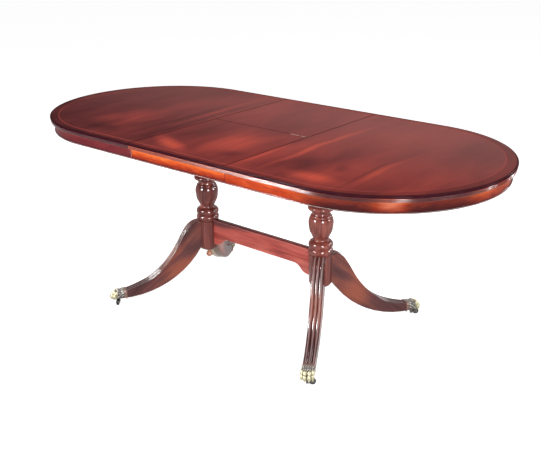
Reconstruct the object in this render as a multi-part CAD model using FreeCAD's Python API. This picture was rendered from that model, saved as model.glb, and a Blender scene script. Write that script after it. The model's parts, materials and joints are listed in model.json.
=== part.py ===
"""Extending dining table on two turned pedestals, in millimetres.

X runs along the table, Y across it and Z up. The origin is on the floor under the middle of the table.
Two D-shaped ends slide on fixed rails, and a leaf in two halves folds up from the middle.
"""
import FreeCAD, Part
import math
import os

V = FreeCAD.Vector

# Top
TABLE_HEIGHT = 762.0
TOP_WIDTH = 912.0
END_LENGTH = 764.0
LEAF_LENGTH = 457.0
SEAM_GAP = 0.6
TOP_THICKNESS = 22.0
LIPPING_WIDTH = 16.0

# Apron under the edge of the top
APRON_HEIGHT = 40.0
APRON_THICKNESS = 18.0
APRON_INSET = 16.0
BEAD_HEIGHT = 5.0
BEAD_PROJECTION = 2.0
BLOCK_SIZE = 22.0
BLOCK_LENGTH = 60.0

# Columns
PEDESTAL_X = 294.5
SHAFT_RADIUS = 44.0
SHAFT_BOTTOM = 207.0
SHAFT_TOP = 323.0
RING_RADIUS = 46.8
WAIST_RADIUS = 30.6
BULB_RADIUS = 47.2
COLLAR_RADIUS = 50.0
CAP_RADIUS = 48.0
COLUMN_TENON_RADIUS = 20.0
DROP_LENGTH = 34.0
DROP_SPIGOT_RADIUS = 7.0
DROP_SPIGOT_LENGTH = 20.0

# Legs
LEG_ANGLE = 59.1
LEG_ROOT_WIDTH = 46.0
LEG_FOOT_WIDTH = 44.0
LEG_FOOT_DEPTH = 26.0
DOVETAIL_REACH = 20.0
REED_SPACING = 14.0
REED_GROOVE = 2.8

# Stretcher
STRETCHER_THICKNESS = 23.0
STRETCHER_TOP = 334.0
STRETCHER_DEPTH = 76.0
STRETCHER_END_DEPTH = 109.0
STRETCHER_STEP = 62.0
STRETCHER_TENON_THICKNESS = 12.0
STRETCHER_TENON_LENGTH = 24.0
PEG_RADIUS = 4.0
PEG_LENGTH = 56.0

# Paws and casters
SWIVEL_REACH = 399.0
PAW_WALL = 2.5
TRAIL = 17.0
WHEEL_RADIUS = 12.5
WHEEL_WIDTH = 10.0
AXLE_RADIUS = 1.5
STEM_RADIUS = 4.0
STEM_LENGTH = 16.0
FORK_WALL = 2.0
CASTER_TURNS = {"front_left": -49.6, "rear_left": 205.0, "front_right": 40.4, "rear_right": 40.4}

# Fixed frame under the top
BEARER_WIDTH = 90.0
BEARER_LENGTH = 430.0
BEARER_HEIGHT = 40.0
RAIL_Y = 155.0
RAIL_THICKNESS = 30.0
RAIL_LENGTH = 860.0
RAIL_HEADROOM = 2.0
GROOVE_DEPTH = 10.0
GROOVE_HEIGHT = 12.0
BEAM_WIDTH = 44.0
BEAM_DEPTH = 35.0

# Sliding runners under the ends
RUNNER_WIDTH = 30.0
RUNNER_HEIGHT = 40.0
RUNNER_LENGTH = 950.0
RUNNER_SETBACK = 160.0
RUNNER_LIFT = 10.0
RUNNER_SCREW_PITCH = 160.0
STOP_LENGTH = 30.0
STOP_DROP = 18.0
SLIDE_TRAVEL = 45.0

# Leaf pivots and turn buttons
PIVOT_Y = 20.0
PIVOT_DEPTH = 3.0
PIN_RADIUS = 1.5
PIN_BITE = 16.0
POST_THICKNESS = 2.4
POST_FOOT = 34.0
BUTTON_EDGE = 156.0
BUTTON_SETBACK = 36.0
BUTTON_REACH = 70.0
BUTTON_TAIL = 24.0
BUTTON_WIDTH = 24.0
BUTTON_THICKNESS = 10.0

# Screws
SCREW_RADIUS = 2.2
SCREW_HEAD_RADIUS = 4.4
SCREW_HEAD_HEIGHT = 2.4
SCREW_BITE = 14.0

# Clearances
FIT = 0.05
SLIDE_FIT = 0.4
RUNNING_GAP = 0.3
WHEEL_GAP = 1.5

# Heights and places that follow from the sizes above
UNDERSIDE = TABLE_HEIGHT - TOP_THICKNESS
APRON_BOTTOM = UNDERSIDE - APRON_HEIGHT
RUNNER_BOTTOM = UNDERSIDE - RUNNER_HEIGHT
BEARER_TOP = RUNNER_BOTTOM - RUNNER_LIFT
COLUMN_TOP = BEARER_TOP - BEARER_HEIGHT
GROOVE_Z = RUNNER_BOTTOM + RUNNER_HEIGHT * 0.45
PIVOT_Z = TABLE_HEIGHT - PIVOT_DEPTH
EAR_RADIUS = PIN_RADIUS + 1.0
DOME_BOTTOM = SHAFT_BOTTOM - 21.0
PAW_UNDERSIDE = 2 * WHEEL_RADIUS + WHEEL_GAP
HALF_WIDTH = TOP_WIDTH / 2
HALF_LEAF = LEAF_LENGTH / 2
HALF_LENGTH = HALF_LEAF + END_LENGTH
END_FACE = HALF_LEAF + SEAM_GAP / 2
LEAF_FACE = HALF_LEAF - SEAM_GAP / 2
ARC_X = HALF_LENGTH - HALF_WIDTH
LIPPING_REACH = HALF_WIDTH - LIPPING_WIDTH
APRON_REACH = HALF_WIDTH - APRON_INSET - APRON_THICKNESS
RUNNER_END = HALF_LENGTH - RUNNER_SETBACK
BEARER_FACE = PEDESTAL_X - BEARER_WIDTH / 2
BUTTON_X = HALF_LEAF + BUTTON_SETBACK
BUTTON_Y = HALF_WIDTH - BUTTON_EDGE
LEG_ROOT = math.sqrt(SHAFT_RADIUS ** 2 - (LEG_ROOT_WIDTH / 2) ** 2)
LEG_END = SWIVEL_REACH - 13.0
STRETCHER_END = PEDESTAL_X - math.sqrt(SHAFT_RADIUS ** 2 - (STRETCHER_THICKNESS / 2) ** 2)
POST_X = LEAF_FACE - POST_THICKNESS - 0.5
NOTCH_X = POST_X - SLIDE_FIT
CORNERS = {"front_left": (-1, -1), "rear_left": (-1, 1), "front_right": (1, -1), "rear_right": (1, 1)}


def box(x0, x1, y0, y1, z0, z1):
    """Box between two corners, given in either order along each axis."""
    low = V(min(x0, x1), min(y0, y1), min(z0, z1))
    return Part.makeBox(abs(x1 - x0), abs(y1 - y0), abs(z1 - z0), low)


def placed(shape, x=0.0, y=0.0, z=0.0, turn=0.0):
    copy = shape.copy()
    copy.rotate(V(0, 0, 0), V(0, 0, 1), turn)
    copy.translate(V(x, y, z))
    return copy


def joined(shapes):
    return shapes[0].multiFuse(shapes[1:]).removeSplitter()


def mirrored_y(shape):
    return shape.mirror(V(0, 0, 0), V(0, 1, 0))


def profile(start, moves):
    """Face in the XZ plane, bounded by lines, three-point arcs and smooth curves through (u, z) points."""
    here = V(start[0], 0, start[1])
    edges = []
    for kind, *points in moves:
        targets = [V(u, 0, z) for u, z in points]
        if kind == "line":
            for target in targets:
                edges.append(Part.LineSegment(here, target).toShape())
                here = target
        elif kind == "arc":
            edges.append(Part.Arc(here, targets[0], targets[1]).toShape())
            here = targets[1]
        else:
            curve = Part.BSplineCurve()
            curve.interpolate([here] + targets)
            edges.append(curve.toShape())
            here = targets[-1]
    return Part.Face(Part.Wire(edges))


def turned(start, moves):
    return profile(start, moves).revolve(V(0, 0, 0), V(0, 0, 1), 360)


def prism(points, z0, z1):
    corners = [V(x, y, z0) for x, y in points]
    return Part.Face(Part.makePolygon(corners + corners[:1])).extrude(V(0, 0, z1 - z0))


def slab(face, thickness, y=0.0):
    """Thicken a face drawn in the XZ plane evenly to both sides of the given Y."""
    moved = face.copy()
    moved.translate(V(0, y - thickness / 2, 0))
    return moved.extrude(V(0, thickness, 0))


def front_section(face, x, reach):
    """Turn a section drawn with u outward so that it stands on the front edge at the given X."""
    section = face.copy()
    section.rotate(V(0, 0, 0), V(0, 0, 1), -90)
    section.translate(V(x, -reach, 0))
    return section


def straight_run(face, x0, x1, reach):
    return front_section(face, x0, reach).extrude(V(x1 - x0, 0, 0))


def end_run(face, reach):
    """Run a section along the straight sides and the half circle of the right-hand end."""
    front = straight_run(face, END_FACE, ARC_X, reach)
    bend = front_section(face, ARC_X, reach).revolve(V(ARC_X, 0, 0), V(0, 0, 1), 180)
    return joined([front, bend, mirrored_y(front)])


def end_board(reach, z0, z1):
    side = box(END_FACE, ARC_X, -reach, reach, z0, z1)
    disc = Part.makeCylinder(reach, z1 - z0, V(ARC_X, 0, z0), V(0, 0, 1), 180)
    disc.rotate(V(ARC_X, 0, 0), V(0, 0, 1), -90)
    return joined([side, disc])


def wood_screw(x, y, head_z, tip_z, grow=0.0):
    """Countersunk screw with its head at head_z and its tip at tip_z, above or below the head."""
    way = V(0, 0, 1 if tip_z > head_z else -1)
    neck = V(x, y, head_z) + way * SCREW_HEAD_HEIGHT
    length = abs(tip_z - head_z) - SCREW_HEAD_HEIGHT + grow
    shank = SCREW_RADIUS + grow
    head = Part.makeCone(SCREW_HEAD_RADIUS + grow, shank, SCREW_HEAD_HEIGHT, V(x, y, head_z), way)
    return head.fuse(Part.makeCylinder(shank, length, neck, way))


def button_screw(x, y, grow=0.0):
    seat = UNDERSIDE - SLIDE_FIT - BUTTON_THICKNESS - RUNNING_GAP
    head = Part.makeCylinder(SCREW_HEAD_RADIUS + 0.6, 2.7, V(x, y, seat - 2.7))
    shank = Part.makeCylinder(SCREW_RADIUS + grow, UNDERSIDE - seat + SCREW_BITE + grow, V(x, y, seat))
    return head.fuse(shank)


def cross_pin(x, half_length, z, radius):
    return Part.makeCylinder(radius, 2 * half_length, V(x, -half_length, z), V(0, 1, 0))


def lipping_section():
    """Moulded edge: a rounded nosing over two reeds that step back."""
    low = UNDERSIDE
    return profile((0, low), [
        ("line", (LIPPING_WIDTH - 4.5, low)),
        ("arc", (LIPPING_WIDTH - 1.5, low + 3.1), (LIPPING_WIDTH - 4.0, low + 6.2)),
        ("arc", (LIPPING_WIDTH - 0.7, low + 9.3), (LIPPING_WIDTH - 3.2, low + 12.4)),
        ("arc", (LIPPING_WIDTH, low + 16.6), (LIPPING_WIDTH - 5.0, TABLE_HEIGHT)),
        ("line", (0, TABLE_HEIGHT), (0, low)),
    ])


def apron_section():
    """Plain board with a small bead along its lower edge."""
    bead_middle = APRON_BOTTOM + BEAD_HEIGHT / 2
    bead_top = APRON_BOTTOM + BEAD_HEIGHT
    return profile((0, APRON_BOTTOM), [
        ("line", (APRON_THICKNESS, APRON_BOTTOM)),
        ("arc", (APRON_THICKNESS + BEAD_PROJECTION, bead_middle), (APRON_THICKNESS, bead_top)),
        ("line", (APRON_THICKNESS, UNDERSIDE), (0, UNDERSIDE), (0, APRON_BOTTOM)),
    ])


def leg_side():
    """Side of a leg: a round shoulder, then a long hollow sweep out to the foot."""
    run = LEG_END - LEG_ROOT
    root_top = SHAFT_TOP - 1.0
    root_bottom = SHAFT_BOTTOM + 1.0
    foot_bottom = PAW_UNDERSIDE + 1.5
    foot_top = foot_bottom + LEG_FOOT_DEPTH
    shape = [(0.07, 0.987), (0.14, 0.929), (0.21, 0.80), (0.322, 0.549), (0.475, 0.313), (0.628, 0.168),
             (0.80, 0.073), (1.0, 0.0)]
    upper = [(LEG_ROOT + along * run, foot_top + up * (root_top - foot_top)) for along, up in shape]
    lower_middle = (LEG_ROOT + 0.4286 * run, foot_bottom + 0.233 * (root_bottom - foot_bottom))
    return profile((LEG_ROOT, root_top), [
        ("curve", *upper),
        ("line", (LEG_END, foot_bottom)),
        ("arc", lower_middle, (LEG_ROOT, root_bottom)),
        ("line", (LEG_ROOT, root_top)),
    ])


def make_leg():
    """One leg pointing along +X from its column's axis, before and after its top is reeded."""
    root = LEG_ROOT_WIDTH / 2
    foot = LEG_FOOT_WIDTH / 2
    plan = prism([(LEG_ROOT, -root), (LEG_END, -foot), (LEG_END, foot), (LEG_ROOT, root)], 0, SHAFT_TOP)
    blank = slab(leg_side(), LEG_ROOT_WIDTH).common(plan)
    tail = [(LEG_ROOT, -7), (LEG_ROOT, 7), (DOVETAIL_REACH, 10), (DOVETAIL_REACH, -10)]
    plain = joined([blank, prism(tail, SHAFT_BOTTOM + 7, SHAFT_TOP - 5)])
    reeded = plain
    for y in (-REED_SPACING / 2, REED_SPACING / 2):
        strip = slab(leg_side(), REED_GROOVE, y)
        inner = strip.copy()
        inner.translate(V(-REED_GROOVE * 0.57, 0, -REED_GROOVE * 0.57))
        groove = strip.cut(inner).cut(box(0, LEG_ROOT + 14, -root, root, 0, SHAFT_TOP))
        reeded = reeded.cut(groove)
    return plain, reeded


def make_paw(leg):
    """Brass socket over the leg's end, with four toes and a bore for the caster's stem."""
    s = SWIVEL_REACH
    low = PAW_UNDERSIDE
    heel = s - TRAIL - WHEEL_RADIUS - WHEEL_GAP
    half = LEG_FOOT_WIDTH / 2 + PAW_WALL
    side = profile((heel - 4, low - 4.5), [
        ("line", (heel, low - 4.5), (heel, low), (s + 20, low)),
        ("arc", (s + 26, low + 7), (s + 24, low + 16)),
        ("curve", (s + 19, low + 27), (s + 9, low + 34), (s - 3, low + 33.5), (s - 11, low + 31.5)),
        ("arc", (s - 21, low + 35.2), (heel - 4, low + 37)),
        ("line", (heel - 4, low - 4.5)),
    ])
    pieces = [slab(side, 2 * half)]
    for y, reach in ((-half + 6.4, s + 20), (-6.2, s + 26), (6.2, s + 26), (half - 6.4, s + 20)):
        pieces.append(Part.makeSphere(8.2, V(reach - 8, y, low + 25)))
        pieces.append(Part.makeSphere(7.4, V(reach, y, low + 11)))
    paw = joined(pieces).cut(leg)
    return paw.cut(Part.makeCylinder(STEM_RADIUS + FIT, STEM_LENGTH + RUNNING_GAP, V(s, 0, low)))


def make_fork():
    """Caster fork at its swivel axis, with its axle trailing along +X."""
    inside = WHEEL_WIDTH / 2 + 0.5
    outside = inside + FORK_WALL
    top = PAW_UNDERSIDE - RUNNING_GAP
    back = -STEM_RADIUS - 2
    cheek = STEM_RADIUS
    stem = Part.makeCylinder(STEM_RADIUS, STEM_LENGTH, V(0, 0, top))
    pieces = [box(back, TRAIL - WHEEL_RADIUS - 0.6, -outside, outside, WHEEL_RADIUS - 5.5, top), stem]
    for side in (-1, 1):
        low = WHEEL_RADIUS - cheek
        pieces.append(box(back, TRAIL, side * inside, side * outside, low, low + 2 * cheek))
        eye = V(TRAIL, min(side * inside, side * outside), WHEEL_RADIUS)
        pieces.append(Part.makeCylinder(cheek, FORK_WALL, eye, V(0, 1, 0)))
    pieces.append(cross_pin(TRAIL, outside, WHEEL_RADIUS, AXLE_RADIUS))
    return joined(pieces)


def make_wheel():
    half = WHEEL_WIDTH / 2
    bore = AXLE_RADIUS + FIT
    wheel = turned((bore, -half), [
        ("line", (WHEEL_RADIUS - 2, -half)),
        ("arc", (WHEEL_RADIUS, 0), (WHEEL_RADIUS - 2, half)),
        ("line", (bore, half), (bore, -half)),
    ])
    wheel.rotate(V(0, 0, 0), V(1, 0, 0), 90)
    return placed(wheel, TRAIL, 0, WHEEL_RADIUS)


def make_column():
    """Plain shaft on a dome, two rings, a bulb, a collar and a neck that carries the bearer."""
    top = SHAFT_TOP
    cap = COLUMN_TOP
    tenon = COLUMN_TENON_RADIUS
    bulb = BULB_RADIUS
    collar = COLLAR_RADIUS
    return turned((0, DOME_BOTTOM), [
        ("line", (16, DOME_BOTTOM)),
        ("arc", (SHAFT_RADIUS - 8, SHAFT_BOTTOM - 14), (SHAFT_RADIUS, SHAFT_BOTTOM)),
        ("line", (SHAFT_RADIUS, top), (SHAFT_RADIUS - 1.5, top + 2)),
        ("arc", (RING_RADIUS, top + 15.5), (RING_RADIUS - 3.2, top + 28)),
        ("line", (RING_RADIUS - 3.2, top + 30)),
        ("arc", (RING_RADIUS - 0.3, top + 41.5), (RING_RADIUS - 7.3, top + 53)),
        ("arc", (WAIST_RADIUS + 1.4, top + 56.5), (WAIST_RADIUS, top + 61)),
        ("curve", (WAIST_RADIUS + 2.2, top + 66), (bulb - 10.8, top + 76), (bulb - 6.9, top + 86),
         (bulb - 3.5, top + 96), (bulb - 1.2, top + 107), (bulb, top + 120), (bulb - 0.4, top + 131),
         (bulb - 3, top + 144), (bulb - 8, top + 155), (bulb - 13.6, top + 163)),
        ("arc", (collar - 14.5, top + 172), (collar - 6, top + 177)),
        ("arc", (collar, top + 186), (collar - 6, top + 195)),
        ("arc", (collar - 14, top + 199), (collar - 17, top + 209)),
        ("curve", (collar - 14.5, (top + cap) / 2 + 93), (CAP_RADIUS - 8, cap - 25)),
        ("line", (CAP_RADIUS, cap - 22)),
        ("arc", (CAP_RADIUS + 3, cap - 16), (CAP_RADIUS, cap - 10)),
        ("line", (CAP_RADIUS, cap), (tenon, cap), (tenon, BEARER_TOP), (0, BEARER_TOP), (0, DOME_BOTTOM)),
    ])


def make_drop():
    """Turned drop with a ball, under the column's dome."""
    high = DOME_BOTTOM
    tip = high - DROP_LENGTH
    spigot = DROP_SPIGOT_RADIUS
    spigot_top = high + DROP_SPIGOT_LENGTH
    return turned((0, tip), [
        ("arc", (9.6, tip + 3.8), (12.6, tip + 12)),
        ("arc", (11.8, tip + 17.5), (10.2, tip + 22)),
        ("arc", (11.4, tip + 27), (15.5, high - 3)),
        ("line", (15.5, high), (spigot, high), (spigot, spigot_top), (0, spigot_top), (0, tip)),
    ])


def make_stretcher():
    """Shaped board between the columns: shallow in the middle, with ogee steps down to the ends."""
    shallow = STRETCHER_TOP - STRETCHER_DEPTH
    deep = STRETCHER_TOP - STRETCHER_END_DEPTH
    middle = (shallow + deep) / 2
    outer = STRETCHER_END - 14
    inner = outer - STRETCHER_STEP
    turn = (outer + inner) / 2
    bulge = (shallow - deep) * 0.2
    outer_arc = ((outer + turn) / 2, deep + bulge / 1.5)
    inner_arc = ((inner + turn) / 2, shallow - bulge / 1.5)
    side = profile((-STRETCHER_END, STRETCHER_TOP), [
        ("line", (STRETCHER_END, STRETCHER_TOP), (STRETCHER_END, deep), (outer, deep)),
        ("arc", outer_arc, (turn, middle)),
        ("arc", inner_arc, (inner, shallow)),
        ("line", (-inner, shallow)),
        ("arc", (-inner_arc[0], inner_arc[1]), (-turn, middle)),
        ("arc", (-outer_arc[0], outer_arc[1]), (-outer, deep)),
        ("line", (-STRETCHER_END, deep), (-STRETCHER_END, STRETCHER_TOP)),
    ])
    reach = STRETCHER_END + STRETCHER_TENON_LENGTH
    half = STRETCHER_TENON_THICKNESS / 2
    tenons = box(-reach, reach, -half, half, shallow - 22, STRETCHER_TOP - 16)
    return joined([slab(side, STRETCHER_THICKNESS), tenons])


def make_runner(inner_lane):
    """Front runner of the right-hand end with its stop, and the Y of its middle."""
    side = -1 if inner_lane else 1
    near = RAIL_Y + side * (RAIL_THICKNESS / 2 + SLIDE_FIT)
    far = near + side * RUNNER_WIDTH
    tongue = near - side * (GROOVE_DEPTH - SLIDE_FIT)
    half_tongue = GROOVE_HEIGHT / 2 - SLIDE_FIT
    inner_end = RUNNER_END - RUNNER_LENGTH
    bar = box(inner_end, RUNNER_END, -near, -far, RUNNER_BOTTOM, UNDERSIDE)
    key = box(inner_end, RAIL_LENGTH / 2, -near, -tongue, GROOVE_Z - half_tongue, GROOVE_Z + half_tongue)
    relief = box(inner_end, END_FACE, -near, -far, UNDERSIDE - SLIDE_FIT, UNDERSIDE)
    stop_x = BEARER_FACE - SLIDE_TRAVEL - 0.5
    stop = box(stop_x - STOP_LENGTH, stop_x, -near, -far, BEARER_TOP - STOP_DROP, RUNNER_BOTTOM)
    return joined([bar, key]).cut(relief), stop, -(near + far) / 2


def make_rail():
    half = RAIL_LENGTH / 2
    inner = RAIL_Y - RAIL_THICKNESS / 2
    outer = RAIL_Y + RAIL_THICKNESS / 2
    low = GROOVE_Z - GROOVE_HEIGHT / 2
    high = GROOVE_Z + GROOVE_HEIGHT / 2
    rail = box(-half, half, -outer, -inner, BEARER_TOP, UNDERSIDE - RAIL_HEADROOM)
    rail = rail.cut(box(-half, half, -outer, GROOVE_DEPTH - outer, low, high))
    return rail.cut(box(-half, half, -inner, -GROOVE_DEPTH - inner, low, high))


def make_bearer(x):
    half = BEARER_WIDTH / 2
    bearer = box(x - half, x + half, -BEARER_LENGTH / 2, BEARER_LENGTH / 2, COLUMN_TOP, BEARER_TOP)
    return bearer.cut(Part.makeCylinder(COLUMN_TENON_RADIUS + FIT, BEARER_HEIGHT, V(x, 0, COLUMN_TOP)))


def make_post():
    """Brass hinge post at the right-hand end of the leaf, with a pivot hole for each half."""
    outer = POST_X + POST_THICKNESS
    side = PIVOT_Y + EAR_RADIUS
    way = V(1, 0, 0)
    pieces = [
        box(POST_X, outer, -side, side, BEARER_TOP, PIVOT_Z),
        box(POST_X, outer, -PIVOT_Y, PIVOT_Y, PIVOT_Z, PIVOT_Z + EAR_RADIUS),
        box(POST_X - POST_FOOT, POST_X, -15, 15, BEARER_TOP, BEARER_TOP + POST_THICKNESS),
    ]
    for y in (-PIVOT_Y, PIVOT_Y):
        pieces.append(Part.makeCylinder(EAR_RADIUS, POST_THICKNESS, V(POST_X, y, PIVOT_Z), way))
    post = joined(pieces)
    for y in (-PIVOT_Y, PIVOT_Y):
        post = post.cut(Part.makeCylinder(PIN_RADIUS + FIT, POST_THICKNESS, V(POST_X, y, PIVOT_Z), way))
    return post


def make_button():
    """Turn button at its pivot, with its long arm along -X."""
    half = BUTTON_WIDTH / 2
    low = half - BUTTON_REACH
    high = BUTTON_TAIL - half
    pieces = [box(low, high, -half, half, 0, BUTTON_THICKNESS)]
    for x in (low, high):
        pieces.append(Part.makeCylinder(half, BUTTON_THICKNESS, V(x, 0, 0)))
    return joined(pieces).cut(Part.makeCylinder(SCREW_RADIUS + FIT, BUTTON_THICKNESS))


def straight_block(x, side):
    half = BLOCK_LENGTH / 2
    inner = APRON_REACH - BLOCK_SIZE
    return box(x - half, x + half, side * APRON_REACH, side * inner, UNDERSIDE - BLOCK_SIZE, UNDERSIDE)


def end_blocks():
    """Glue blocks behind the right-hand end's apron."""
    straight = ARC_X - END_FACE
    low = UNDERSIDE - BLOCK_SIZE
    half = BLOCK_LENGTH / 2
    blocks = [straight_block(END_FACE + straight * share, side) for share in (0.35, 0.8) for side in (-1, 1)]
    inside = Part.makeCylinder(APRON_REACH, BLOCK_SIZE, V(ARC_X, 0, low))
    for turn in (-66, -33, 0, 33, 66):
        block = box(APRON_REACH - BLOCK_SIZE - 2, APRON_REACH + 2, -half, half, low, UNDERSIDE)
        blocks.append(placed(block, ARC_X, 0, 0, turn).common(inside))
    return blocks


def make_end(inner_lane):
    """All pieces of a right-hand end; the left-hand end is such an end turned half a circle."""
    panel = end_board(LIPPING_REACH, UNDERSIDE, TABLE_HEIGHT)
    runner, stop, middle = make_runner(inner_lane)
    screws = []
    for step in range(3):
        x = RUNNER_END - 30 - step * RUNNER_SCREW_PITCH
        hole = wood_screw(x, middle, RUNNER_BOTTOM, UNDERSIDE + SCREW_BITE, FIT)
        screw = wood_screw(x, middle, RUNNER_BOTTOM, UNDERSIDE + SCREW_BITE)
        runner = runner.cut(hole)
        panel = panel.cut(hole).cut(mirrored_y(hole))
        screws.extend([screw, mirrored_y(screw)])
    for y in (-BUTTON_Y, BUTTON_Y):
        panel = panel.cut(button_screw(BUTTON_X, y, FIT))
        screws.append(button_screw(BUTTON_X, y))
    return {
        "top_panel": panel,
        "top_lipping": end_run(lipping_section(), LIPPING_REACH),
        "apron": end_run(apron_section(), APRON_REACH),
        "runner_front": runner,
        "runner_rear": mirrored_y(runner),
        "runner_stops": Part.makeCompound([stop, mirrored_y(stop)]),
        "glue_blocks": Part.makeCompound(end_blocks()),
        "screws": Part.makeCompound(screws),
    }


def make_half_leaf():
    """All pieces of the front half of the leaf."""
    panel = box(-LEAF_FACE, LEAF_FACE, -LIPPING_REACH, -SEAM_GAP / 2, UNDERSIDE, TABLE_HEIGHT)
    notch_y = PIVOT_Y + EAR_RADIUS + RUNNING_GAP * 3
    pins = []
    for side in (-1, 1):
        panel = panel.cut(box(side * NOTCH_X, side * LEAF_FACE, -notch_y, 0, UNDERSIDE, TABLE_HEIGHT))
        inner = V(side * (NOTCH_X - PIN_BITE), -PIVOT_Y, PIVOT_Z)
        way = V(side, 0, 0)
        panel = panel.cut(Part.makeCylinder(PIN_RADIUS + FIT, PIN_BITE, inner, way))
        pins.append(Part.makeCylinder(PIN_RADIUS, PIN_BITE + SLIDE_FIT + POST_THICKNESS, inner, way))
    return {
        "panel": panel,
        "lipping": straight_run(lipping_section(), -LEAF_FACE, LEAF_FACE, LIPPING_REACH),
        "apron": straight_run(apron_section(), -LEAF_FACE, LEAF_FACE, APRON_REACH),
        "glue_blocks": Part.makeCompound([straight_block(x, -1) for x in (-HALF_LEAF / 2, HALF_LEAF / 2)]),
        "pivot_pins": Part.makeCompound(pins),
    }


def corner_turn(corner):
    sx, sy = CORNERS[corner]
    return sy * (LEG_ANGLE if sx > 0 else 180 - LEG_ANGLE)


def swivel_place(corner):
    sx, sy = CORNERS[corner]
    angle = math.radians(LEG_ANGLE)
    return sx * (PEDESTAL_X + SWIVEL_REACH * math.cos(angle)), sy * SWIVEL_REACH * math.sin(angle)


def build_pedestals():
    nodes = {}
    plain_leg, leg = make_leg()
    paw = make_paw(plain_leg)
    fork = make_fork()
    wheel = make_wheel()
    stretcher = make_stretcher()
    columns = {side: placed(make_column(), side * PEDESTAL_X).cut(stretcher) for side in (-1, 1)}
    for corner, (sx, sy) in CORNERS.items():
        turn = corner_turn(corner)
        columns[sx] = columns[sx].cut(placed(plain_leg, sx * PEDESTAL_X, turn=turn))
        nodes["leg_" + corner] = placed(leg, sx * PEDESTAL_X, turn=turn)
        nodes["paw_" + corner] = placed(paw, sx * PEDESTAL_X, turn=turn)
        foot_x, foot_y = swivel_place(corner)
        nodes["caster_fork_" + corner] = placed(fork, foot_x, foot_y, turn=CASTER_TURNS[corner])
        nodes["caster_wheel_" + corner] = placed(wheel, foot_x, foot_y, turn=CASTER_TURNS[corner])
    pegs = []
    for side, name in ((-1, "left"), (1, "right")):
        for share in (0.28, 0.7):
            x = side * (STRETCHER_END + STRETCHER_TENON_LENGTH / 2)
            z = STRETCHER_TOP - STRETCHER_END_DEPTH * share
            hole = cross_pin(x, PEG_LENGTH / 2 + FIT, z, PEG_RADIUS + FIT)
            pegs.append(cross_pin(x, PEG_LENGTH / 2, z, PEG_RADIUS))
            columns[side] = columns[side].cut(hole)
            stretcher = stretcher.cut(hole)
        foot = V(side * PEDESTAL_X, 0, DOME_BOTTOM)
        socket = Part.makeCylinder(DROP_SPIGOT_RADIUS + FIT, DROP_SPIGOT_LENGTH + FIT, foot)
        nodes["column_" + name] = columns[side].cut(socket)
        nodes["drop_" + name] = placed(make_drop(), side * PEDESTAL_X)
    nodes["stretcher"] = stretcher
    nodes["stretcher_pegs"] = Part.makeCompound(pegs)
    return nodes


def build_frame():
    rail = make_rail()
    bearers = {side: make_bearer(side * PEDESTAL_X) for side in (-1, 1)}
    half = BEAM_WIDTH / 2
    beam = box(-BEARER_FACE, BEARER_FACE, -half, half, BEARER_TOP - BEAM_DEPTH, BEARER_TOP)
    post = make_post()
    screws = []
    tip = UNDERSIDE - 5 * RAIL_HEADROOM
    for side in (-1, 1):
        for x in (side * PEDESTAL_X - BEARER_WIDTH * 0.28, side * PEDESTAL_X + BEARER_WIDTH * 0.28):
            hole = wood_screw(x, -RAIL_Y, COLUMN_TOP, tip, FIT)
            screw = wood_screw(x, -RAIL_Y, COLUMN_TOP, tip)
            rail = rail.cut(hole)
            bearers[side] = bearers[side].cut(hole).cut(mirrored_y(hole))
            screws.extend([screw, mirrored_y(screw)])
    for y in (-8, 8):
        x = POST_X - POST_FOOT * 0.55
        head = BEARER_TOP + POST_THICKNESS
        hole = wood_screw(x, y, head, head - 2 * SCREW_BITE, FIT)
        screw = wood_screw(x, y, head, head - 2 * SCREW_BITE)
        post = post.cut(hole)
        other_hole = placed(hole, turn=180)
        beam = beam.cut(hole).cut(other_hole)
        # A longer leaf puts the posts over the bearers, which are then bored too
        bearers[1] = bearers[1].cut(hole)
        bearers[-1] = bearers[-1].cut(other_hole)
        screws.extend([screw, placed(screw, turn=180)])
    return {
        "bearer_left": bearers[-1],
        "bearer_right": bearers[1],
        "slide_rail_front": rail,
        "slide_rail_rear": mirrored_y(rail),
        "centre_beam": beam,
        "hinge_posts": Part.makeCompound([post, placed(post, turn=180)]),
        "frame_screws": Part.makeCompound(screws),
    }


def build_top():
    nodes = {}
    for piece, shape in make_end(inner_lane=True).items():
        nodes["right_" + piece] = shape
    swapped = {"runner_front": "runner_rear", "runner_rear": "runner_front"}
    for piece, shape in make_end(inner_lane=False).items():
        nodes["left_" + swapped.get(piece, piece)] = placed(shape, turn=180)
    for piece, shape in make_half_leaf().items():
        nodes["leaf_front_" + piece] = shape
        nodes["leaf_rear_" + piece] = mirrored_y(shape)
    button = make_button()
    button_z = UNDERSIDE - SLIDE_FIT - BUTTON_THICKNESS
    for corner, (sx, sy) in CORNERS.items():
        turn = 0 if sx > 0 else 180
        nodes["button_" + corner] = placed(button, sx * BUTTON_X, sy * BUTTON_Y, button_z, turn)
    return nodes


def main():
    os.makedirs("parts", exist_ok=True)
    for group in (build_pedestals(), build_frame(), build_top()):
        for node, shape in group.items():
            shape.exportStep("parts/" + node + ".step")


main()
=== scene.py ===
"""Looks of an extending dining table on two turned pedestals, in metres.

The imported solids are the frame. The moulded edges, aprons, turnings, legs, stretcher, paws and wheels are
modelled again here at a finer grain, each over the solid that it stands for. The boards and the frame under
them keep their solids.
"""
import json
import math

import bmesh
import bpy
from mathutils import Matrix, Vector


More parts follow.
